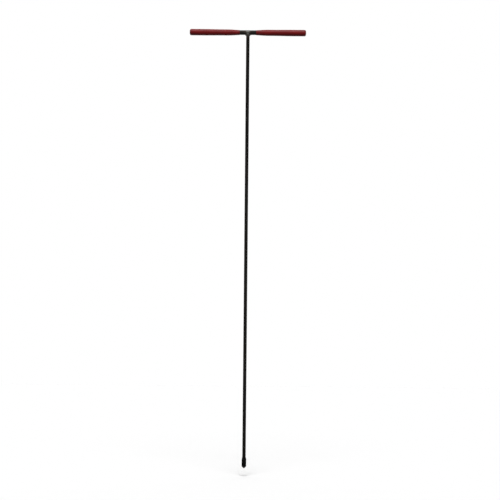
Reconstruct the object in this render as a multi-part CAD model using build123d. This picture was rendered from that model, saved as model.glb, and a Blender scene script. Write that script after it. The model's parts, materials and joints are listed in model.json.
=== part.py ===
from build123d import *
from math import acos, cos, radians, sin, sqrt, tan
import os

# A T-handled probing rod, pushed into soil by hand to feel for pipes, tanks or rock.
# A steel rod is coped and welded under a cross bar, two dip-moulded vinyl grips are pushed onto
# the bar, and a hardened tip, thicker than the rod, screws onto the rod's lower end.
# Millimetres. The origin is the tip's point, +Z runs up the rod and +X along the cross bar.

# Driving dimensions
overall_length = 1219.0  # from the tip's point to the top of the grips

bar_diameter = 12.7
bare_length = 45.5  # of the bar, between the mouths of the two grips
bar_end_chamfer = 1.0

rod_diameter = 9.525
weld_leg = 2.6  # how far the weld reaches along the bar and down the rod from where they meet
weld_room = 0.8  # the most it may take of the way from there up to the bar's widest line

grip_length = 139.0
grip_closed_wall = 3.0  # thickness of the closed outer end
grip_palm_wall = 2.6  # side wall of the thick outer half
grip_middle_wall = 2.15
grip_mouth_wall = 0.5  # the wall thins out to this where the grip ends on the bar
grip_palm_length = 50.0  # thick, straight outer stretch, with the rounded end
grip_ease_length = 30.0  # from the thick stretch down to the middle wall
grip_mouth_taper = 26.0
grip_end_round = 4.4
grip_clearance = 0.05  # between the bar and the grip's bore, on the radius

tip_diameter = 12.7
tip_length = 30.5
tip_nose_angle = 90.0  # full angle of the nose cone
tip_nose_radius = 2.0
tip_nose_flat = 0.3  # radius of the small flat on the end of the nose
tip_nose_blend = 2.0  # rounds the edge where the nose cone meets the tip's side
tip_back_taper = 6.0  # length of the sloped back, so that the tip pulls out of soil easily
tip_back_lip = 0.5  # how far the tip's back face stands out beyond the rod
flat_depth = 0.75  # how deep each of the two wrench flats is cut
flat_height = 8.0
flat_offset = 1.5  # from the sloped back down to the flats

pilot_length = 3.0  # plain stretch under the rod's shoulder that centres the tip
pilot_step = 0.55  # width of the shoulder that the tip seats on
thread_length = 12.0
thread_step = 0.25  # from the pilot in to the crest of the thread
thread_depth = 0.77  # from the crest of the thread in to its root
thread_chamfer = 0.8
fit_clearance = 0.05  # between the tip and what it screws onto, on the radius
bore_spare = 1.5  # room under the end of the thread
drill_angle = 118.0
drill_flat = 0.5  # radius of the flat that the drill's blunt middle leaves

# Places that follow from them
bar_length = bare_length + 2 * (grip_length - grip_closed_wall)
bar_radius = bar_diameter / 2
rod_radius = rod_diameter / 2
tip_radius = tip_diameter / 2
grip_bore_radius = bar_radius + grip_clearance
grip_palm_radius = grip_bore_radius + grip_palm_wall
bar_height = overall_length - grip_palm_radius
pilot_radius = rod_radius - pilot_step
crest_radius = pilot_radius - thread_step
root_radius = crest_radius - thread_depth


def bar_stock(length):
    """A plain length of the cross bar's round stock, in its place."""
    return Pos(0, 0, bar_height) * Rot(0, 90, 0) * Cylinder(bar_radius, length)


def cross_bar():
    bar = bar_stock(bar_length)
    ends = bar.edges().filter_by(GeomType.CIRCLE)
    return chamfer(ends, bar_end_chamfer)


def probe_rod():
    """The rod's half outline turned about Z, with its top coped to the bar's underside."""
    pilot_bottom = tip_length - pilot_length
    thread_bottom = pilot_bottom - thread_length
    outline = Polyline(
        (0, thread_bottom),
        (root_radius - thread_chamfer, thread_bottom),
        (root_radius, thread_bottom + thread_chamfer),
        (root_radius, pilot_bottom),
        (pilot_radius, pilot_bottom),
        (pilot_radius, tip_length),
        (rod_radius, tip_length),
        (rod_radius, bar_height),
        (0, bar_height),
        close=True,
    )
    rod = revolve(Plane.XZ * make_face(outline), Axis.Z)
    return rod - bar_stock(bar_length)


def t_joint_weld():
    """The filled corner along the saddle line where rod and bar meet, without rod and bar."""
    bar = bar_stock(bar_length)
    rod_stock = Pos(0, 0, bar_height - bar_diameter) * Cylinder(rod_radius, 2 * bar_diameter)
    joined = bar + rod_stock
    saddle_line = new_edges(bar, rod_stock, combined=joined)
    way_up_bar = bar_radius * acos(rod_radius / bar_radius)
    leg = min(weld_leg, weld_room * way_up_bar)
    return chamfer(saddle_line, leg) - joined


def right_grip():
    """The grip's half outline, from mouth to closed end, turned about the bar's axis."""
    seat = bar_length / 2
    closed_end = seat + grip_closed_wall
    mouth = closed_end - grip_length
    taper_end = mouth + grip_mouth_taper
    palm_start = closed_end - grip_palm_length
    ease_start = palm_start - grip_ease_length
    mouth_radius = grip_bore_radius + grip_mouth_wall
    middle_radius = grip_bore_radius + grip_middle_wall
    outline = Polyline(
        (mouth, grip_bore_radius),
        (mouth, mouth_radius),
        (taper_end, middle_radius),
        (ease_start, middle_radius),
        (palm_start, grip_palm_radius),
        (closed_end, grip_palm_radius),
        (closed_end, 0),
        (seat, 0),
        (seat, grip_bore_radius),
        close=True,
    )
    grip = revolve(Plane.XZ * make_face(outline), Axis.X)
    end_edge = grip.edges().filter_by(GeomType.CIRCLE).sort_by(Axis.X)[-1]
    grip = fillet(end_edge, grip_end_round)
    return Pos(0, 0, bar_height) * grip


def tip_blank():
    """The tip's half section, with round nose, cone, sloped back and bore, turned about Z."""
    half_angle = radians(tip_nose_angle / 2)
    nose_middle = sqrt(tip_nose_radius**2 - tip_nose_flat**2)
    cone_start_radius = tip_nose_radius * cos(half_angle)
    cone_start = nose_middle - tip_nose_radius * sin(half_angle)
    cone_end = cone_start + (tip_radius - cone_start_radius) / tan(half_angle)
    back_radius = rod_radius + tip_back_lip
    counterbore_radius = pilot_radius + fit_clearance
    bore_radius = crest_radius + fit_clearance
    counterbore_bottom = tip_length - pilot_length
    bore_bottom = counterbore_bottom - thread_length - bore_spare
    drill_bottom = bore_bottom - (bore_radius - drill_flat) / tan(radians(drill_angle / 2))
    nose = RadiusArc((tip_nose_flat, 0), (cone_start_radius, cone_start), -tip_nose_radius)
    sides = Polyline(
        (cone_start_radius, cone_start),
        (tip_radius, cone_end),
        (tip_radius, tip_length - tip_back_taper),
        (back_radius, tip_length),
        (counterbore_radius, tip_length),
        (counterbore_radius, counterbore_bottom),
        (bore_radius, counterbore_bottom),
        (bore_radius, bore_bottom),
        (drill_flat, drill_bottom),
        (0, drill_bottom),
        (0, 0),
        (tip_nose_flat, 0),
    )
    section = make_face(nose + sides)
    cone_edge = section.vertices().sort_by_distance((tip_radius, cone_end))[0]
    return revolve(Plane.XZ * fillet(cone_edge, tip_nose_blend), Axis.Z)


def probe_tip():
    """The turned tip with its two wrench flats, one at the front and one at the back."""
    tip = tip_blank()
    flats_middle = tip_length - tip_back_taper - flat_offset - flat_height / 2
    for side in (-1, 1):
        chip = Box(tip_diameter, 2 * flat_depth, flat_height)
        tip -= Pos(0, side * tip_radius, flats_middle) * chip
    return tip


grip = right_grip()
parts = {
    "cross_bar": cross_bar(),
    "probe_rod": probe_rod(),
    "t_joint_weld": t_joint_weld(),
    "left_grip": mirror(grip, Plane.YZ),
    "right_grip": grip,
    "probe_tip": probe_tip(),
}

os.makedirs("parts", exist_ok=True)
for name, solid in parts.items():
    export_step(solid, f"parts/{name}.step")
    print(name, "volume", round(solid.volume), "mm3")
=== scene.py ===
# %% [markdown]
# # A probing rod in Blender
#
# A probing rod is pushed into soil by hand to feel for pipes, tanks or rock. It is a T of dark
# steel: a slim rod welded under a cross bar, two red vinyl grips on the bar, and a hardened tip
# that screws onto the rod's lower end. The CAD model gives every piece its size and place.
# Blender adds what a plain solid lacks: the soft skin of the grips, the rippled weld, the screw
# thread under the tip, and the finish of each metal.
#
# The frame is loaded first, because every piece below is placed by it.

# %% Load the frame
import bmesh
import bpy
import json
from math import cos, pi, radians
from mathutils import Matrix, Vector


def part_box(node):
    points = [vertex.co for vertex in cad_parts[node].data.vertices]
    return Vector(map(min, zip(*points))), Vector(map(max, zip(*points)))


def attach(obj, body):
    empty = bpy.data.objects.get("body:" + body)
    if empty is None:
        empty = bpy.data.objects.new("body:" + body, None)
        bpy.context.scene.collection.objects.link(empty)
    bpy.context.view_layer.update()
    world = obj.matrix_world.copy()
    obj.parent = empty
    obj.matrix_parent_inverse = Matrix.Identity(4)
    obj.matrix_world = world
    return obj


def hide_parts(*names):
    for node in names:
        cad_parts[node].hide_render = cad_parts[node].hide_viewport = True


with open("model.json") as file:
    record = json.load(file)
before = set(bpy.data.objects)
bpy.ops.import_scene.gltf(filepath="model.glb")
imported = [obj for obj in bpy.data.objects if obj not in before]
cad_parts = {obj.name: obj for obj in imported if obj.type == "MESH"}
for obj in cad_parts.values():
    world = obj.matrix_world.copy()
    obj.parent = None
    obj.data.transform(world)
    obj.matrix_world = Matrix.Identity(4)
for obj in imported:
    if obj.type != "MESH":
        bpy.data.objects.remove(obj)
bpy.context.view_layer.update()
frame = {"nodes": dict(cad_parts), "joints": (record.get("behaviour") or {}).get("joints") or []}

# %% [markdown]
# ## The sizes that the pieces share
#
# Blender's unit is the metre, so a size in millimetres is written times MM. Most sizes can be
# read from the boxes of the CAD nodes: a round bar's radius is half its height, and its axis is
# at the middle. Reading them, and not typing them again, keeps the new pieces on the steel they
# belong to if the tool is ever made longer or thicker. The tool stands upright with the tip's
# point at the origin, so heights along the rod are plain Z values.

# %% Read the sizes from the frame
MM = 0.001
bar_low, bar_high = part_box("cross_bar")
rod_low, rod_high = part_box("probe_rod")
tip_low, tip_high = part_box("probe_tip")

bar_radius = (bar_high.z - bar_low.z) / 2
bar_height = (bar_high.z + bar_low.z) / 2
rod_radius = (rod_high.x - rod_low.x) / 2
tip_radius = (tip_high.x - tip_low.x) / 2
tip_seat = tip_high.z
print(f"radius of bar {bar_radius / MM:.3f}, rod {rod_radius / MM:.3f}, "
      f"tip {tip_radius / MM:.3f} mm")
print(f"the bar's axis is at {bar_height / MM:.1f} mm, the tip's seat at {tip_seat / MM:.1f} mm")

# %% [markdown]
# ## Writing formulas as node trees
#
# Both Geometry Nodes and shader nodes do arithmetic with Math nodes, and a formula of ten signs
# takes ten of them. Placing these one by one hides the formula. So a small class stands for what
# comes out of a node, and its signs add the Math nodes: `a * b + c` then reads as it would on
# paper. The same helpers serve the trees that make shapes and the trees that make finishes.

# %% A wire that can be added and multiplied
class Wire:
    """What comes out of a node. The signs + - * / between wires add Math nodes to their tree."""

    def __init__(self, tree, socket):
        self.tree = tree
        self.socket = socket

    def __add__(self, other):
        return maths(self.tree, "ADD", self, other)

    def __sub__(self, other):
        return maths(self.tree, "SUBTRACT", self, other)

    def __rsub__(self, other):
        return maths(self.tree, "SUBTRACT", other, self)

    def __mul__(self, other):
        return maths(self.tree, "MULTIPLY", self, other)

    def __truediv__(self, other):
        return maths(self.tree, "DIVIDE", self, other)

    __radd__ = __add__
    __rmul__ = __mul__


def fill(tree, socket, value):
    """Give a node's input its value: a wire is linked to it, anything else is set on it."""
    if isinstance(value, Wire):
        tree.links.new(value.socket, socket)
    else:
        socket.default_value = value


def maths(tree, operation, *values):
    """Add one Math node, and give back the wire with its result."""
    node = tree.nodes.new("ShaderNodeMath")
    node.operation = operation
    for socket, value in zip(node.inputs, values):
        fill(tree, socket, value)
    return Wire(tree, node.outputs[0])


print("signs that add a Math node: + - * /")

# %% [markdown]
# Other nodes are added by their type, with their inputs under the names that the node editor
# shows. Two of them come up again and again: one splits a vector into X, Y and Z, and one joins
# them. Much on this tool is round, so the cosine and the sine of a share of a full turn have a
# helper too.

# %% Add any node, take a vector apart, and go round
def add(tree, kind, values=None, out=0, **settings):
    """Add a node with its settings and inputs, and give back the wire from one of its outputs."""
    node = tree.nodes.new(kind)
    for name, value in settings.items():
        setattr(node, name, value)
    for name, value in (values or {}).items():
        fill(tree, node.inputs[name], value)
    return Wire(tree, node.outputs[out])


def split(tree, vector):
    """The three parts of a vector, as wires."""
    node = add(tree, "ShaderNodeSeparateXYZ", {"Vector": vector}).socket.node
    return [Wire(tree, socket) for socket in node.outputs]


def point(tree, x, y, z):
    """A vector from its three parts."""
    return add(tree, "ShaderNodeCombineXYZ", {"X": x, "Y": y, "Z": z})


def round_turn(tree, share):
    """The cosine and the sine at this share of a full turn."""
    angle = share * (2 * pi)
    return maths(tree, "COSINE", angle), maths(tree, "SINE", angle)


print("node helpers ready")

# %% [markdown]
# ## What every finish needs
#
# Each finish is a Principled shader fed by textures on Object coordinates. Those are metres in
# the frame of the tool, so a speck of half a millimetre is written as half a millimetre, and a
# finish can change with the place on the tool, such as the heat tint beside the weld. Image
# textures could do this too, but they need unwrapping and go soft in a close-up. An input that is
# the same all over is set on the shader itself, and fine relief goes in as Bump with its depth in
# metres.

# %% Start a finish, and give it relief
def start_finish(name, **constants):
    """A material with one Principled shader. Its constant inputs are named, with _ for a space."""
    material = bpy.data.materials.new(name)
    material.use_nodes = True
    tree = material.node_tree
    tree.nodes.clear()
    shader = tree.nodes.new("ShaderNodeBsdfPrincipled")
    end = tree.nodes.new("ShaderNodeOutputMaterial")
    tree.links.new(shader.outputs["BSDF"], end.inputs["Surface"])
    for label, value in constants.items():
        shader.inputs[label.replace("_", " ")].default_value = value
    place = add(tree, "ShaderNodeTexCoord", out="Object")
    return material, tree, shader, place


def rough_skin(tree, shader, height, depth):
    """Bump: a height of 0 to 1 stands for this many metres of relief."""
    values = {"Height": height, "Distance": depth, "Strength": 1.0}
    fill(tree, shader.inputs["Normal"], add(tree, "ShaderNodeBump", values, out="Normal"))


print("a finish starts with a Principled shader and Object coordinates")

# %% [markdown]
# Four more helpers make the patterns. Noise that is stretched along one axis gives drawn steel
# its lines, fine noise gives vinyl its skin, and slow noise keeps any surface from being one flat
# colour. A soft step, up or down, turns noise into patches with an edge, or a distance into a
# zone, and a blend lays one colour over another there.

# %% Noise, soft steps and blends of colour
def grain(tree, place, lengths, detail):
    """Noise from 0 to 1, with features about this many metres long on each axis."""
    stretch = tuple(1.0 / length for length in lengths)
    stretched = add(tree, "ShaderNodeMapping", {"Vector": place, "Scale": stretch})
    return add(tree, "ShaderNodeTexNoise", {"Vector": stretched, "Scale": 1.0, "Detail": detail})


def rise(tree, value, start, end):
    """A soft step up: 0 where the value is at start or before it, 1 at end or past it."""
    values = {"Value": value, "From Min": start, "From Max": end}
    return add(tree, "ShaderNodeMapRange", values, interpolation_type="SMOOTHSTEP")


def fall(tree, value, start, end):
    """A soft step down: 1 where the value is at start or before it, 0 at end or past it."""
    return 1.0 - rise(tree, value, start, end)


def blend(tree, share, first, second):
    """A colour between two: share 0 gives the first and share 1 the second."""
    node = tree.nodes.new("ShaderNodeMix")
    node.data_type = "RGBA"
    inputs = {socket.identifier: socket for socket in node.inputs}
    fill(tree, inputs["Factor_Float"], share)
    fill(tree, inputs["A_Color"], first)
    fill(tree, inputs["B_Color"], second)
    outputs = {socket.identifier: socket for socket in node.outputs}
    return Wire(tree, outputs["Result_Color"])


print("patterns: grain, rise, fall and blend")

# %% [markdown]
# ## Red vinyl
#
# The grips are dip-moulded: a warm former is dipped into liquid vinyl, and the skin that sets on
# it is pulled off like a glove. The skin is deep red all through, with a low satin gloss, faint
# clouds in the colour, and a soft orange peel where the liquid drained before it set. Two noises
# are enough: one of centimetres for the clouds, one of a millimetre for the peel. Hands leave the
# thin mouth a little darker, and that darkening follows the distance along the bar.

# %% Make the vinyl
DEEP_RED = (0.165, 0.0056, 0.0068, 1.0)
CLOUDY_RED = (0.22, 0.0082, 0.0092, 1.0)
HANDLED_RED = (0.07, 0.005, 0.007, 1.0)
cloud_lengths = (25 * MM, 11 * MM, 11 * MM)
peel_lengths = (1.4 * MM, 1.1 * MM, 1.1 * MM)
peel_depth = 0.045 * MM
handled_length = 9 * MM
grip_low, grip_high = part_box("right_grip")
mouth, closed_end = grip_low.x, grip_high.x


def red_vinyl():
    """Cloudy deep red with a satin gloss, darker at the mouths of the grips."""
    material, tree, shader, place = start_finish("dipped_vinyl", Specular_IOR_Level=0.12)
    clouds = grain(tree, place, cloud_lengths, 4.0)
    colour = blend(tree, rise(tree, clouds, 0.3, 0.7), DEEP_RED, CLOUDY_RED)
    along = maths(tree, "ABSOLUTE", split(tree, place)[0])
    handled = fall(tree, along, mouth, mouth + handled_length)
    handled = handled * rise(tree, clouds, 0.25, 0.8) * 0.6
    fill(tree, shader.inputs["Base Color"], blend(tree, handled, colour, HANDLED_RED))
    peel = grain(tree, place, peel_lengths, 3.0)
    fill(tree, shader.inputs["Roughness"], 0.3 + 0.16 * peel)
    rough_skin(tree, shader, peel, peel_depth)
    return material


vinyl = red_vinyl()
print("finish:", vinyl.name, len(vinyl.node_tree.nodes), "nodes")

# %% [markdown]
# ## A tree for each shape
#
# Every new shape on this tool follows a rule: a grip is turned, a weld is a row of ripples along
# a line, a thread is a helix. Such a shape could be modelled by hand, but a Geometry Nodes tree
# keeps its rule open, with a named input for each size. All the trees begin and end alike: at the
# end, points that coincide are merged, which closes the seams, instances become real faces, and
# the finish is set.

# %% Start and end a tree
SOCKET_KINDS = {float: "NodeSocketFloat", int: "NodeSocketInt"}
SEAM = 0.001 * MM  # points nearer than this become one


def start_tree(name, sizes):
    """A tree with a named input for each size. Gives the tree and the wires from its inputs."""
    tree = bpy.data.node_groups.new(name, "GeometryNodeTree")
    tree.interface.new_socket("Geometry", in_out="INPUT", socket_type="NodeSocketGeometry")
    for label, value in sizes.items():
        kind = SOCKET_KINDS[type(value)]
        tree.interface.new_socket(label, in_out="INPUT", socket_type=kind).default_value = value
    tree.interface.new_socket("Material", in_out="INPUT", socket_type="NodeSocketMaterial")
    tree.interface.new_socket("Geometry", in_out="OUTPUT", socket_type="NodeSocketGeometry")
    start = tree.nodes.new("NodeGroupInput")
    return tree, {socket.name: Wire(tree, socket) for socket in start.outputs if socket.name}


def end_tree(tree, geometry, material):
    """Close the seams, shade smooth, make everything real faces and give them their finish."""
    merged = add(tree, "GeometryNodeMergeByDistance", {"Geometry": geometry, "Distance": SEAM})
    smooth = add(tree, "GeometryNodeSetShadeSmooth", {"Geometry": merged})
    real = add(tree, "GeometryNodeRealizeInstances", {"Geometry": smooth})
    finished = add(tree, "GeometryNodeSetMaterial", {"Geometry": real, "Material": material})
    end = tree.nodes.new("NodeGroupOutput")
    tree.links.new(finished.socket, end.inputs["Geometry"])


print("a tree's sizes can be", [kind.__name__ for kind in SOCKET_KINDS])

# %% [markdown]
# Most of the trees bend a flat grid into place: its columns go round, its rows go along, and a
# formula moves each point. An index counts the grid's points column by column, so the column is
# the index divided by the number of rows, and the row is what is left over. A tree runs as a
# modifier, but an export can't carry a modifier, so its result is kept as a plain mesh and the
# modifier is taken away.

# %% Number a grid, and keep what a tree makes
def bent_grid(tree, columns, rows):
    """A grid, with each point's column and row as wires."""
    grid = add(tree, "GeometryNodeMeshGrid", {"Vertices X": columns, "Vertices Y": rows})
    index = add(tree, "GeometryNodeInputIndex")
    column = maths(tree, "FLOOR", (index + 0.5) / rows)
    return grid, column, index - column * rows


def face_outwards(mesh):
    """Turn all faces outwards, and count the edges that don't join two faces."""
    shell = bmesh.new()
    shell.from_mesh(mesh)
    bmesh.ops.recalc_face_normals(shell, faces=shell.faces)
    open_edges = sum(1 for edge in shell.edges if not edge.is_manifold)
    shell.to_mesh(mesh)
    shell.free()
    return open_edges


def grow(name, tree, inputs, base=None):
    """Run a tree with these inputs, and keep what it makes as a plain mesh with one finish."""
    piece = bpy.data.objects.new(name, base or bpy.data.meshes.new(name))
    bpy.context.scene.collection.objects.link(piece)
    modifier = piece.modifiers.new(name, "NODES")
    modifier.node_group = tree
    for item in tree.interface.items_tree:
        if item.in_out == "INPUT" and item.name in inputs:
            modifier[item.identifier] = inputs[item.name]
    evaluated = piece.evaluated_get(bpy.context.evaluated_depsgraph_get())
    mesh = bpy.data.meshes.new_from_object(evaluated)
    piece.modifiers.remove(modifier)
    piece.data = mesh
    mesh.materials.clear()
    mesh.materials.append(inputs["Material"])
    open_edges = face_outwards(mesh)
    print(f"{name}: {len(mesh.polygons)} faces, {open_edges} open edges")
    return piece


print("shape helpers ready")

# %% [markdown]
# ## The grips
#
# Seen from the side, a grip is a turned shape: thin at the mouth, where the vinyl tapers out on
# the bar, nearly straight along the middle, thicker in the palm, and closed at the end with a
# soft round. One could lathe this with a Screw modifier, but a tree can round each corner of the
# outline by its own radius and add the slight waviness of a dipped skin. The outline is a chain
# of a few points, and each carries its corner radius in an attribute named round.

# %% The turning tree
def turned_tree():
    """Round the corners of an outline of (along X, radius Z) and turn it about the X axis."""
    tree, size = start_tree("turned_grip", {
        "Axis Height": 0.0, "Steps Around": 64, "Corner Points": 10, "Waviness": 0.0,
        "Wave Scale": 1.0, "Seed": 0})
    outline = add(tree, "GeometryNodeMeshToCurve", {"Mesh": size["Geometry"]})
    radius = add(tree, "GeometryNodeInputNamedAttribute", {"Name": "round"}, data_type="FLOAT")
    rounded = add(tree, "GeometryNodeFilletCurve", {
        "Curve": outline, "Count": size["Corner Points"], "Radius": radius, "Limit Radius": True},
        mode="POLY")
    count = add(tree, "GeometryNodeAttributeDomainSize", {"Geometry": rounded}, component="CURVE")
    grid, column, row = bent_grid(tree, size["Steps Around"] + 1, count)
    spot = add(tree, "GeometryNodeSampleIndex", {
        "Geometry": rounded, "Value": add(tree, "GeometryNodeInputPosition"), "Index": row},
        data_type="FLOAT_VECTOR")
    along, _, out = split(tree, spot)
    across, up = round_turn(tree, column / size["Steps Around"])
    # halving the way along makes the waves twice as long along the grip as round it
    wave = add(tree, "ShaderNodeTexNoise", {
        "Vector": point(tree, along * 0.5, out * across, out * up), "W": size["Seed"],
        "Scale": size["Wave Scale"], "Detail": 1.0}, noise_dimensions="4D")
    out = out * (1.0 - size["Waviness"] * wave)
    turned = add(tree, "GeometryNodeSetPosition", {
        "Geometry": grid,
        "Position": point(tree, along, out * across, size["Axis Height"] + out * up)})
    end_tree(tree, turned, size["Material"])
    return tree


grip_tree = turned_tree()
print("tree:", grip_tree.name, len(grip_tree.nodes), "nodes")

# %% [markdown]
# The walls are the CAD model's: half a millimetre at the mouth, about two along the middle, and a
# little more in the palm. The long slopes meet at less than four degrees, so only a very large
# radius shows there as a soft swell. A drop of vinyl hangs from the end of the former while it
# drains, and leaves a small nib in the middle of the closed end. The bore fits the bar and gets
# no rounds.

# %% Draw the grip's outline
bar_end = bar_high.x
bore_radius = bar_radius + 0.05 * MM
palm_radius = (grip_high.z - grip_low.z) / 2
middle_radius = bore_radius + 2.15 * MM
mouth_radius = bore_radius + 0.5 * MM
taper_end = mouth + 26 * MM
palm_start = closed_end - 50 * MM
ease_start = palm_start - 30 * MM
end_face = closed_end - 0.45 * MM
nib_top, nib_foot = 1.3 * MM, 2.5 * MM

# along the bar, distance from its axis, corner radius
grip_outline = [
    (closed_end, 0.0, 0.0),
    (closed_end, nib_top, 5 * MM),
    (end_face, nib_foot, 5 * MM),
    (end_face, palm_radius, 4.4 * MM),
    (palm_start, palm_radius, 1600 * MM),
    (ease_start, middle_radius, 1600 * MM),
    (taper_end, middle_radius, 300 * MM),
    (mouth, mouth_radius, 0.22 * MM),
    (mouth, bore_radius, 0.1 * MM),
    (bar_end, bore_radius, 0.0),
    (bar_end, 0.0, 0.0),
]
print(f"grip: {(closed_end - mouth) / MM:.1f} mm long, {len(grip_outline)} corners")

# %% [markdown]
# The left grip is the same outline on -X. Mirroring the finished right grip would be quicker, but
# its waves would be mirrored with it, so each grip is grown from its own outline with its own
# seed. Both replace their plain CAD solids, and ride on the body that these belong to.

# %% Make both grips
def outline_mesh(name, corners, side):
    """A chain of edges through the corners, on -X where side is -1, with the corner radii."""
    mesh = bpy.data.meshes.new(name)
    points = [(side * along, 0.0, out) for along, out, _ in corners]
    mesh.from_pydata(points, [(step, step + 1) for step in range(len(corners) - 1)], [])
    radii = mesh.attributes.new("round", "FLOAT", "POINT")
    for item, (_, _, radius) in zip(radii.data, corners):
        item.value = radius
    return mesh


for seed, (node, side) in enumerate({"left_grip": -1, "right_grip": 1}.items()):
    skin = grow(node + "_skin", grip_tree, {
        "Axis Height": bar_height, "Steps Around": 96, "Corner Points": 10, "Waviness": 0.012,
        "Wave Scale": 55.0, "Seed": seed, "Material": vinyl},
        outline_mesh(node + "_outline", grip_outline, side))
    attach(skin, "rod_and_handle")
    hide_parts(node)

# %% [markdown]
# ## Dark steel for the bar and the rod
#
# Rod and bar are drawn bar stock, black from the mill and oiled. They show fine lines along their
# length, a slow drift between black and brown, stains in the oil, and small bright scuffs where
# soil and hands have rubbed. A brushed look is often made with the shader's anisotropy, but lines
# made of stretched noise still show in a close-up. They are in the colour as well as in the
# relief: in even white surroundings a metal looks alike whichever way it faces, so relief alone
# hardly shows. One function makes both finishes, and a zone lays another steel over part of the
# surface.

# %% A finish for drawn steel
DULL_EDGE = (0.35, 0.35, 0.35, 1.0)
DRAWN_LINE = (0.024, 0.023, 0.022, 1.0)
OIL_STAIN = (0.02, 0.012, 0.007, 1.0)
SCUFFED_STEEL = (0.06, 0.056, 0.05, 1.0)
LINE_DEPTH = 0.012 * MM


def drawn_steel(name, axis, black, brown, zones):
    """Black steel, drawn along one axis. A zone is a share over the surface and two colours."""
    material, tree, shader, place = start_finish(name, Metallic=1.0, Specular_Tint=DULL_EDGE)

    def lines(length, width, detail):
        """Noise in lines along the axis, about this long and wide."""
        lengths = [width, width, width]
        lengths[axis] = length
        return grain(tree, place, lengths, detail)

    fine = lines(70 * MM, 0.38 * MM, 3.0)
    coarse = lines(17 * MM, 2 * MM, 4.0)
    slow = lines(140 * MM, 17 * MM, 5.0)
    colour = blend(tree, rise(tree, slow, 0.35, 0.65), black, brown)
    colour = blend(tree, rise(tree, fine, 0.45, 0.75) * 0.8, colour, DRAWN_LINE)
    stains = fall(tree, coarse, 0.28, 0.4) * rise(tree, slow, 0.4, 0.6)
    colour = blend(tree, stains * 0.7, colour, OIL_STAIN)
    scuffs = rise(tree, coarse, 0.6, 0.72) * rise(tree, slow, 0.4, 0.7)
    colour = blend(tree, scuffs * 0.35, colour, SCUFFED_STEEL)
    for share, dull, bright in zones:
        colour = blend(tree, share(tree, place), colour, blend(tree, fine, dull, bright))
    fill(tree, shader.inputs["Base Color"], colour)
    fill(tree, shader.inputs["Roughness"], 0.34 + 0.2 * coarse)
    rough_skin(tree, shader, fine, LINE_DEPTH)
    return material


print("drawn steel is made along axis 0 (the bar) or 2 (the rod)")

# %% [markdown]
# Near the joint the black scale has been ground off for welding, and the heat has tinted the edge
# of the bare patch straw and blue. On the bar the bare patch is as wide as the rod, with a ragged
# edge, and the tint reaches a little further. On the rod both fade out within a centimetre or two
# of the weld. The rod's lower end, inside the tip, was turned down on a lathe after the rod was
# blackened, so it is bright. A mask painted by hand could say all this, but a distance does it
# more simply.

# %% Where the steel differs
joint_height = bar_height - bar_radius


def ragged(tree, place, lengths, reach):
    """A distance that wanders over this reach from spot to spot, to fray the edge of a zone."""
    return (grain(tree, place, lengths, 3.0) - 0.5) * reach


def bar_zone(first, last):
    """Full out to `first` from the middle of the bar, gone at `last`."""
    def share(tree, place):
        along = maths(tree, "ABSOLUTE", split(tree, place)[0])
        along = along + ragged(tree, place, (1.1 * MM, 4 * MM, 4 * MM), 2.5 * MM)
        return fall(tree, along, first, last)
    return share


def rod_zone(first, last, most):
    """Strongest down to `first` below the bar, gone at `last`."""
    def share(tree, place):
        down = joint_height - split(tree, place)[2]
        down = down + ragged(tree, place, (3.3 * MM, 3.3 * MM, 1.4 * MM), 3 * MM)
        return fall(tree, down, first, last) * most
    return share


def turned_end(tree, place):
    """Full below the tip's seat."""
    return fall(tree, split(tree, place)[2], tip_seat - 0.1 * MM, tip_seat)


print(f"zones start from the joint at {joint_height / MM:.1f} mm "
      f"and the seat at {tip_seat / MM:.1f} mm")

# %% [markdown]
# The bar and the rod keep their CAD shapes, which are right as they are. Only their finish is put
# in the slots that they already have. Steel is dark here not because it lacks light but because
# its base colour is low: a metal mirrors what is around it, tinted by that colour.

# %% Put the steel on the bar and the rod
BARE_STEEL = (0.036, 0.036, 0.033, 1.0), (0.062, 0.062, 0.057, 1.0)
HEAT_TINT = (0.016, 0.014, 0.012, 1.0), (0.026, 0.021, 0.017, 1.0)
CUT_STEEL = (0.11, 0.108, 0.105, 1.0), (0.2, 0.197, 0.19, 1.0)
BAR_BLACK, BAR_BROWN = (0.0055, 0.0055, 0.0059, 1.0), (0.0092, 0.008, 0.0068, 1.0)
ROD_BLACK, ROD_BROWN = (0.006, 0.0059, 0.0058, 1.0), (0.0086, 0.0078, 0.0068, 1.0)

bar_steel = drawn_steel("oiled_bar", 0, BAR_BLACK, BAR_BROWN, [
    (bar_zone(5 * MM, 10 * MM), *HEAT_TINT),
    (bar_zone(3.5 * MM, 5.5 * MM), *BARE_STEEL)])
rod_steel = drawn_steel("oiled_rod", 2, ROD_BLACK, ROD_BROWN, [
    (rod_zone(5 * MM, 16 * MM, 0.8), *HEAT_TINT),
    (rod_zone(2 * MM, 7 * MM, 0.6), *BARE_STEEL),
    (turned_end, *CUT_STEEL)])


def dress(node, material):
    """Give a CAD node its finish, in the slots that it already has."""
    for slot in frame["nodes"][node].material_slots:
        slot.material = material
    print(node, "is", material.name)


dress("cross_bar", bar_steel)
dress("probe_rod", rod_steel)

# %% [markdown]
# ## Black oxide on the tip
#
# The tip is turned from tool steel, hardened and blackened. Soil wears the black off the nose and
# the edge of the sloped back, and a wrench wears it off the corners of the two flats. The
# Geometry node's Pointiness finds edges by itself, but it depends on how finely the mesh is
# divided. The CAD model says where these edges are, so their wear is placed by formula, and noise
# breaks it up later.

# %% Where the tip wears
flat_depth, flat_half_height, flat_offset = 0.75 * MM, 4 * MM, 1.5 * MM
back_taper = 6 * MM
flat_face = tip_radius - flat_depth
flat_half_width = (tip_radius ** 2 - flat_face ** 2) ** 0.5
back_edge = tip_seat - back_taper
flat_middle = back_edge - flat_offset - flat_half_height

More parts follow.
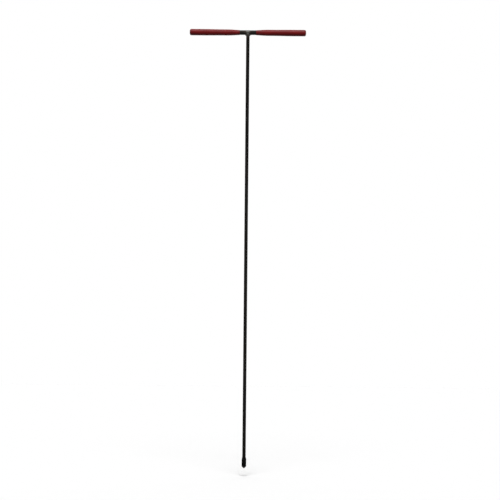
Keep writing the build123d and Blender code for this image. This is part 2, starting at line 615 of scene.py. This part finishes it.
# how far the wear reaches from a corner of a flat: across it, outwards, and past its ends
across_wear, outward_wear, end_wear = 0.35 * MM, 0.4 * MM, 0.3 * MM
back_wear = 0.5 * MM
mill_edge = 0.05 * MM


def near(tree, value, middle, width):
    """1 where the value is this middle one, falling to 0 a width away from it."""
    return fall(tree, maths(tree, "ABSOLUTE", value - middle), 0.0, width)


def tip_edges(tree, across, front, height):
    """1 on the upright corners of the flats and on the edge of the sloped back."""
    sideways, outward = maths(tree, "ABSOLUTE", across), maths(tree, "ABSOLUTE", front)
    upright = maths(tree, "ABSOLUTE", height - flat_middle)
    corners = near(tree, sideways, flat_half_width, across_wear)
    corners = corners * near(tree, outward, flat_face, outward_wear)
    corners = corners * fall(tree, upright, flat_half_height, flat_half_height + end_wear)
    return maths(tree, "MAXIMUM", corners, near(tree, height, back_edge, back_wear))


def tip_flats(tree, across, height):
    """1 on the two flats, which were milled and not turned."""
    sideways = maths(tree, "ABSOLUTE", across)
    upright = maths(tree, "ABSOLUTE", height - flat_middle)
    within = fall(tree, sideways, flat_half_width, flat_half_width + mill_edge)
    return within * fall(tree, upright, flat_half_height, flat_half_height + mill_edge)


print(f"flats {2 * flat_half_width / MM:.1f} mm wide, the slope's edge at {back_edge / MM:.1f} mm")

# %% [markdown]
# Under the wear lies the black itself, cloudy where the oxide took unevenly. Turning leaves fine
# rings round the tip, which a wave along Z gives, and milling leaves straight lines on the flats.
# Both are far too fine to model, so they are colour and relief in the finish. The bore was
# threaded last and is bright, and its zone is what lies near the axis, above the solid nose.

# %% Make the tip's finish
BLACK_OXIDE, CLOUDY_OXIDE = (0.0016, 0.0016, 0.0018, 1.0), (0.0034, 0.0033, 0.0031, 1.0)
TOOL_MARK = (0.013, 0.0127, 0.0124, 1.0)
WORN_STEEL = (0.11, 0.105, 0.10, 1.0)
ring_spacing, mark_depth = 0.35 * MM, 0.01 * MM
worn_below, black_above = 1.5 * MM, 8 * MM
tip_bore_floor, tip_bore_radius = 7 * MM, 4.3 * MM


def blackened_steel():
    """Black oxide with tool marks, worn at the nose and the edges, and bright in the bore."""
    material, tree, shader, place = start_finish(
        "blackened_tip", Metallic=1.0, Specular_Tint=DULL_EDGE)
    across, front, height = split(tree, place)
    cloud = grain(tree, place, (6.25 * MM, 6.25 * MM, 6.25 * MM), 5.0)
    scratch = grain(tree, place, (1.1 * MM, 1.1 * MM, 8.3 * MM), 4.0)
    nose = fall(tree, height, worn_below, black_above) * rise(tree, scratch + cloud, 0.85, 1.25)
    edges = tip_edges(tree, across, front, height) * rise(tree, cloud, 0.3, 0.75)
    rings = 0.5 + 0.5 * maths(tree, "SINE", height * (2 * pi / ring_spacing))
    milled = grain(tree, place, (0.3 * MM, 0.3 * MM, 12 * MM), 2.0)
    flats = tip_flats(tree, across, height)
    marks = rings * (1.0 - flats) + milled * flats
    colour = blend(tree, cloud, BLACK_OXIDE, CLOUDY_OXIDE)
    colour = blend(tree, marks * scratch * 0.4, colour, TOOL_MARK)
    colour = blend(tree, maths(tree, "MAXIMUM", nose, edges * 0.6), colour, WORN_STEEL)
    from_axis = maths(tree, "SQRT", across * across + front * front)
    bore = rise(tree, height, tip_bore_floor, tip_bore_floor + 1 * MM)
    bore = bore * fall(tree, from_axis, tip_bore_radius, tip_bore_radius + 0.1 * MM)
    fill(tree, shader.inputs["Base Color"], blend(tree, bore, colour, CUT_STEEL[0]))
    fill(tree, shader.inputs["Roughness"], 0.3 + 0.22 * cloud)
    rough_skin(tree, shader, marks + scratch, mark_depth)
    return material


tip_steel = blackened_steel()
dress("probe_tip", tip_steel)

# %% [markdown]
# ## The weld
#
# The rod's end is coped to the bar and welded all round. A weld is a row of ripples: the pool of
# metal freezes in steps as the torch moves on, and each step bows forward in the middle. The bead
# follows the saddle-shaped line where the round rod meets the round bar. Sculpting it by hand is
# slow and never quite regular; as a formula it is short. The grid's columns go along the saddle
# line and its rows round the bead, and the bead's radius swells and dips with each ripple.

# %% The weld's tree
def weld_tree():
    """A rippled bead along the saddle line, with its inner half sunk in the rod and the bar."""
    tree, size = start_tree("rippled_weld", {
        "Rod Radius": 0.0, "Bar Radius": 0.0, "Bar Height": 0.0, "Bead Radius": 0.0, "Ripples": 20,
        "Ripple Depth": 0.2, "Ripple Bow": 0.5, "Ripple Drift": 0.0, "Flatness": 0.0,
        "Unevenness": 0.1, "Steps Along": 240, "Steps Across": 24, "Seed": 0})
    grid, column, row = bent_grid(tree, size["Steps Along"] + 1, size["Steps Across"] + 1)
    turn, bead_turn = column / size["Steps Along"], row / size["Steps Across"]
    cos_rod, sin_rod = round_turn(tree, turn)
    cos_bead, sin_bead = round_turn(tree, bead_turn)

    def lumps(offset, scale):
        """Slow noise about 0 that goes round the rod and meets itself."""
        noise = {"Vector": point(tree, cos_rod, sin_rod, offset), "W": size["Seed"],
                 "Scale": scale, "Detail": 2.0}
        return add(tree, "ShaderNodeTexNoise", noise, noise_dimensions="4D") - 0.5

    # the middle of the bead's open side is an eighth of a turn round the bead
    bow = size["Ripple Bow"] * round_turn(tree, bead_turn - 1 / 8)[0]
    phase = turn * size["Ripples"] + bow + size["Ripple Drift"] * lumps(0.0, 2.0)
    # a ripple is nearly a half circle, so the dip between two of them is narrow
    ripple = maths(tree, "FRACT", phase) * 2.0 - 1.0
    dip = 1.0 - maths(tree, "SQRT", 1.0 - ripple * ripple * 0.96)
    # 1 along the rod and the bar, and more on the open side, which is drawn in by it
    diamond = maths(tree, "ABSOLUTE", cos_bead) + maths(tree, "ABSOLUTE", sin_bead)
    bead = 1.0 - size["Ripple Depth"] * dip + size["Unevenness"] * lumps(5.0, 1.6)
    bead = size["Bead Radius"] * bead / maths(tree, "POWER", diamond, size["Flatness"])

    side = size["Rod Radius"] * sin_rod
    saddle = maths(tree, "SQRT", size["Bar Radius"] * size["Bar Radius"] - side * side)
    out = size["Rod Radius"] + bead * cos_bead
    height = size["Bar Height"] - saddle - bead * sin_bead
    bent = add(tree, "GeometryNodeSetPosition", {
        "Geometry": grid, "Position": point(tree, out * cos_rod, out * sin_rod, height)})
    end_tree(tree, bent, size["Material"])
    return tree


ripple_tree = weld_tree()
print("tree:", ripple_tree.name, len(ripple_tree.nodes), "nodes")

# %% [markdown]
# Weld metal is bright where it froze, under a thin skin of brown and blue oxide, and it is a
# little rough. Its finish uses one noise for the oxide and a fine one for the roughness. The bead
# itself is as wide as the CAD model's weld and a little fuller, because a real bead stands proud
# of the straight line between its two edges.

# %% Make the weld
COOL_WELD, BRIGHT_WELD = (0.034, 0.033, 0.031, 1.0), (0.07, 0.068, 0.063, 1.0)
WELD_OXIDE = (0.03, 0.024, 0.026, 1.0)
oxide_size, speck_size, speck_depth = 3.8 * MM, 0.45 * MM, 0.03 * MM
weld_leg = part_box("t_joint_weld")[1].x - rod_radius


def weld_metal():
    """Bright, slightly rough metal under patches of oxide."""
    material, tree, shader, place = start_finish(
        "frozen_weld", Metallic=1.0, Specular_Tint=DULL_EDGE)
    oxide = grain(tree, place, (oxide_size, oxide_size, oxide_size), 5.0)
    speck = grain(tree, place, (speck_size, speck_size, speck_size), 3.0)
    colour = blend(tree, rise(tree, oxide, 0.38, 0.62), COOL_WELD, BRIGHT_WELD)
    colour = blend(tree, rise(tree, oxide, 0.62, 0.75) * 0.6, colour, WELD_OXIDE)
    fill(tree, shader.inputs["Base Color"], colour)
    fill(tree, shader.inputs["Roughness"], 0.32 + 0.2 * speck)
    rough_skin(tree, shader, speck, speck_depth)
    return material


weld_finish = weld_metal()
bead = grow("weld_bead", ripple_tree, {
    "Rod Radius": rod_radius, "Bar Radius": bar_radius, "Bar Height": bar_height,
    "Bead Radius": 1.2 * weld_leg, "Ripples": 25, "Ripple Depth": 0.19, "Ripple Bow": 0.6,
    "Ripple Drift": 1.0, "Flatness": 0.5, "Unevenness": 0.35, "Steps Along": 400,
    "Steps Across": 48, "Seed": 3, "Material": weld_finish})
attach(bead, "rod_and_handle")
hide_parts("t_joint_weld")

# %% [markdown]
# ## Spatter
#
# Welding throws small balls of metal that stick to the steel around the joint. A few balls placed
# by hand would do, but scattering is what Geometry Nodes are good at. Distributing points on
# faces would put them anywhere, so each ball gets a random place along the bar and a random angle
# round it, and sits half sunk in the steel. The seed is fixed, so every run gives the same balls.

# %% Scatter the spatter
def spatter_tree():
    """Balls at random places along the bar and round it."""
    tree, size = start_tree("weld_spatter", {
        "Count": 10, "Bar Radius": 0.0, "Bar Height": 0.0, "Nearest": 0.0, "Farthest": 0.0,
        "Largest Angle": 1.0, "Ball Radius": 0.0, "Smallest Share": 0.5, "Seed": 0})

    def random(low, high, offset):
        """A random number for each ball. Another offset gives other numbers."""
        node = tree.nodes.new("FunctionNodeRandomValue")
        inputs = {socket.identifier: socket for socket in node.inputs}
        fill(tree, inputs["Min_001"], low)
        fill(tree, inputs["Max_001"], high)
        fill(tree, inputs["Seed"], size["Seed"] + offset)
        outputs = {socket.identifier: socket for socket in node.outputs}
        return Wire(tree, outputs["Value_001"])

    side = maths(tree, "SIGN", random(-1.0, 1.0, 1))
    along = side * random(size["Nearest"], size["Farthest"], 0)
    angle = random(0.0 - size["Largest Angle"], size["Largest Angle"], 2)
    across = size["Bar Radius"] * maths(tree, "SINE", angle)
    height = size["Bar Height"] - size["Bar Radius"] * maths(tree, "COSINE", angle)
    points = add(tree, "GeometryNodePoints", {
        "Count": size["Count"], "Position": point(tree, along, across, height)})
    ball = add(tree, "GeometryNodeMeshIcoSphere", {
        "Radius": size["Ball Radius"], "Subdivisions": 3})
    share = random(size["Smallest Share"], 1.0, 3)
    balls = add(tree, "GeometryNodeInstanceOnPoints", {
        "Points": points, "Instance": ball, "Scale": point(tree, share, share, share)})
    real = add(tree, "GeometryNodeRealizeInstances", {"Geometry": balls})
    end_tree(tree, real, size["Material"])
    return tree


spatter = grow("weld_spatter", spatter_tree(), {
    "Count": 7, "Bar Radius": bar_radius, "Bar Height": bar_height, "Nearest": 8.5 * MM,
    "Farthest": 17 * MM, "Largest Angle": 2.0, "Ball Radius": 0.36 * MM, "Smallest Share": 0.45,
    "Seed": 19, "Material": weld_finish})
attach(spatter, "rod_and_handle")

# %% [markdown]
# ## The screw thread under the tip
#
# The tip screws onto the rod's turned-down end. Nobody sees the thread until the tip comes off,
# but then it is what tells the two pieces apart. A thread could be made by sweeping a tooth along
# a helix with the Screw modifier. On an unrolled cylinder, though, the height of a thread depends
# only on z / pitch minus the turn, so one formula on a grid makes a true screw thread, and the
# ridge can run out at both ends. The rows go up the thread and come back down inside the steel,
# which closes it.

# %% The thread's tree
def thread_tree():
    """A screw thread about the Z axis, closed by a plain wall inside the steel."""
    tree, size = start_tree("screw_thread", {
        "Pitch": 1.0, "Bottom": 0.0, "Length": 1.0, "Root Radius": 0.0, "Crest Radius": 0.0,
        "Wall Radius": 0.0, "Run Out": 0.0, "Steps Around": 48, "Steps Along": 100})
    back_up = size["Steps Along"] + 2
    grid, column, row = bent_grid(tree, size["Steps Around"] + 1, back_up + 2)
    turn = column / size["Steps Around"]

    climb = maths(tree, "MINIMUM", maths(tree, "MAXIMUM", row - 1.0, 0.0), size["Steps Along"])
    climb = climb * maths(tree, "LESS_THAN", row, back_up + 0.5)
    lift = climb / size["Steps Along"] * size["Length"]
    phase = maths(tree, "FRACT", lift / size["Pitch"] - turn)
    tooth = 1.0 - maths(tree, "ABSOLUTE", phase * 2.0 - 1.0)
    # made a little too tall and then cut off, the tooth gets flats on its crest and in its root
    tooth = add(tree, "ShaderNodeClamp", {"Value": tooth * 1.35 - 0.2})
    from_end = maths(tree, "MINIMUM", lift, size["Length"] - lift)
    tooth = tooth * add(tree, "ShaderNodeClamp", {"Value": from_end / size["Run Out"]})

    radius = size["Root Radius"] + (size["Crest Radius"] - size["Root Radius"]) * tooth
    inside = maths(tree, "LESS_THAN", row, 0.5) + maths(tree, "GREATER_THAN", row, back_up - 0.5)
    radius = radius + (size["Wall Radius"] - radius) * inside
    cos_turn, sin_turn = round_turn(tree, turn)
    spot = point(tree, radius * cos_turn, radius * sin_turn, size["Bottom"] + lift)
    bent = add(tree, "GeometryNodeSetPosition", {"Geometry": grid, "Position": spot})
    end_tree(tree, bent, size["Material"])
    return tree


screw_tree = thread_tree()
print("tree:", screw_tree.name, len(screw_tree.nodes), "nodes")

# %% [markdown]
# The same tree makes both threads: the one on the rod, and, a fit larger in radius, the one
# inside the tip. Both have the same pitch and phase, so they mesh when the tip is screwed home.
# It is a 5/16 inch thread of 18 turns to the inch, which suits a rod of 3/8 inch. Each thread
# rides on its own body, so it stays with its piece when the tip comes off.

# %% Cut both threads
INCH = 25.4 * MM
thread_pitch = INCH / 18
thread_fit = 0.05 * MM
run_out = 0.9 * MM
pilot_length = 3 * MM
root_radius = rod_radius - 1.57 * MM
crest_radius = root_radius + 0.77 * MM
thread_bottom = rod_low.z + run_out
thread_top = tip_seat - pilot_length
thread_sizes = {
    "Pitch": thread_pitch, "Bottom": thread_bottom, "Length": thread_top - thread_bottom,
    "Run Out": run_out, "Steps Around": 72, "Steps Along": 132}

rod_thread = grow("rod_thread", screw_tree, {
    **thread_sizes, "Root Radius": root_radius, "Crest Radius": crest_radius,
    "Wall Radius": root_radius - 0.5 * MM, "Material": rod_steel})
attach(rod_thread, "rod_and_handle")

tip_thread = grow("tip_thread", screw_tree, {
    **thread_sizes, "Root Radius": root_radius + thread_fit,
    "Crest Radius": crest_radius + thread_fit, "Wall Radius": crest_radius + 0.3 * MM,
    "Material": tip_steel})
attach(tip_thread, "tip")

# %% [markdown]
# ## White surroundings
#
# The tool is shown as in a bright studio, white all round. A strong white world would do that,
# but it would also flood the tool with light and wash out its dark undersides. So the world has
# two strengths: full white for the rays that show the background, straight or mirrored in metal,
# and a dim fill for the rays that light the tool. The Light Path node tells which ray is asking.

# %% Make the world
WHITE = (1.0, 1.0, 1.0, 1.0)
FILL_LIGHT = 0.12
scene = bpy.context.scene


def shows_background(tree):
    """1 on camera, glossy and transmission rays, which show the background, and 0 on the others."""
    rays = tree.nodes.new("ShaderNodeLightPath").outputs
    shown = Wire(tree, rays["Is Camera Ray"])
    for name in ("Is Glossy Ray", "Is Transmission Ray"):
        shown = maths(tree, "MAXIMUM", shown, Wire(tree, rays[name]))
    return shown


def end_with_two(tree, end_kind, lighting, shown):
    """End a tree with one shader for the rays that show the background and another for the rest."""
    node = tree.nodes.new("ShaderNodeMixShader")
    for socket, value in zip(node.inputs, (shows_background(tree), lighting, shown)):
        fill(tree, socket, value)
    tree.links.new(node.outputs[0], tree.nodes.new(end_kind).inputs["Surface"])


scene.world = bpy.data.worlds.new("studio")
scene.world.use_nodes = True
sky = scene.world.node_tree
sky.nodes.clear()
dim = add(sky, "ShaderNodeBackground", {"Color": WHITE, "Strength": FILL_LIGHT})
bright = add(sky, "ShaderNodeBackground", {"Color": WHITE, "Strength": 1.0})
end_with_two(sky, "ShaderNodeOutputWorld", dim, bright)
scene.view_settings.view_transform = "Standard"
print(f"world: white to look at, {FILL_LIGHT} as light")

# %% [markdown]
# ## Lamps
#
# A broad light from above and in front lays a soft shine along the grips, and a weaker one from
# behind keeps the back readable. An area lamp would fall off along a tool of more than a metre. A
# sun lamp doesn't, and its angle makes it as soft as a wide panel, so two suns do the work. How
# much light each sends down is added up, because the floor needs that number.

# %% Hang the lamps
def soft_sun(name, energy, tilt, spread):
    """A sun from the front, or from behind if the tilt is negative. Gives its light on a floor."""
    lamp = bpy.data.lights.new(name, "SUN")
    lamp.energy = energy
    lamp.angle = radians(spread)
    holder = bpy.data.objects.new(name, lamp)
    holder.rotation_euler.x = radians(tilt)
    scene.collection.objects.link(holder)
    return energy * cos(radians(tilt)) / pi


floor_light = FILL_LIGHT
floor_light += soft_sun("key_light", energy=2.7, tilt=35, spread=30)
floor_light += soft_sun("back_light", energy=1.0, tilt=-40, spread=60)
print(f"light on the floor: {floor_light:.3f}")

# %% [markdown]
# ## Floor
#
# The tool stands upright over a plain pale floor, just clear of it, so that the tip has room to
# come off. A floor that is simply white would come out grey or burnt out, depending on the lamps.
# Its colour is therefore worked out from the light that falls on it: what it gives back is just
# white, and the tool's shadow still shows. Light that bounces from it to the tool is dimmed, so
# that the undersides stay dark.

# %% Lay the floor
tip_travel = frame["joints"][0]["range_m"][1]
floor_gap = 3 * MM
floor_depth = tip_travel + floor_gap
floor_reach = 4.0
BOUNCE_GREY = (0.08, 0.08, 0.08, 1.0)

corners = [(-1, -1), (1, -1), (1, 1), (-1, 1)]
floor_mesh = bpy.data.meshes.new("floor")
floor_mesh.from_pydata([(floor_reach * x, floor_reach * y, 0) for x, y in corners], [], [range(4)])
floor = bpy.data.objects.new("floor", floor_mesh)
floor.location.z = -floor_depth
scene.collection.objects.link(floor)

pale = bpy.data.materials.new("pale_floor")
pale.use_nodes = True
floor_tree = pale.node_tree
floor_tree.nodes.clear()
just_white = (1 / floor_light, 1 / floor_light, 1 / floor_light, 1.0)
dull = add(floor_tree, "ShaderNodeBsdfDiffuse", {"Color": BOUNCE_GREY})
white = add(floor_tree, "ShaderNodeBsdfDiffuse", {"Color": just_white})
end_with_two(floor_tree, "ShaderNodeOutputMaterial", dull, white)
floor_mesh.materials.append(pale)
print(f"floor {floor_depth / MM:.0f} mm below the tip's point, grey {just_white[0]:.3f}")

# %% [markdown]
# ## Camera
#
# The photo is taken square from the front with a long lens, and the tool leans half a degree in
# it. So the camera stands 6 m away, level with the middle of the rod, and is rolled by that
# angle: turning the tool itself would take it out of the CAD frame. The focal length follows from
# the width of the view at the tool.

# %% Set up the camera
# metres, and degrees for the lean
view_width = 1.3886
view_middle = (0.0114, 0.6064)
distance = 6.0
lean = 0.538

lens = bpy.data.cameras.new("camera")
lens.sensor_width = 36.0
lens.lens = lens.sensor_width * distance / view_width
lens.clip_end = 100.0
camera = bpy.data.objects.new("camera", lens)
camera.location = (view_middle[0], -distance, view_middle[1])
camera.rotation_euler = (radians(90), radians(-lean), 0)
scene.collection.objects.link(camera)
scene.camera = camera
print(f"lens {lens.lens:.1f} mm")
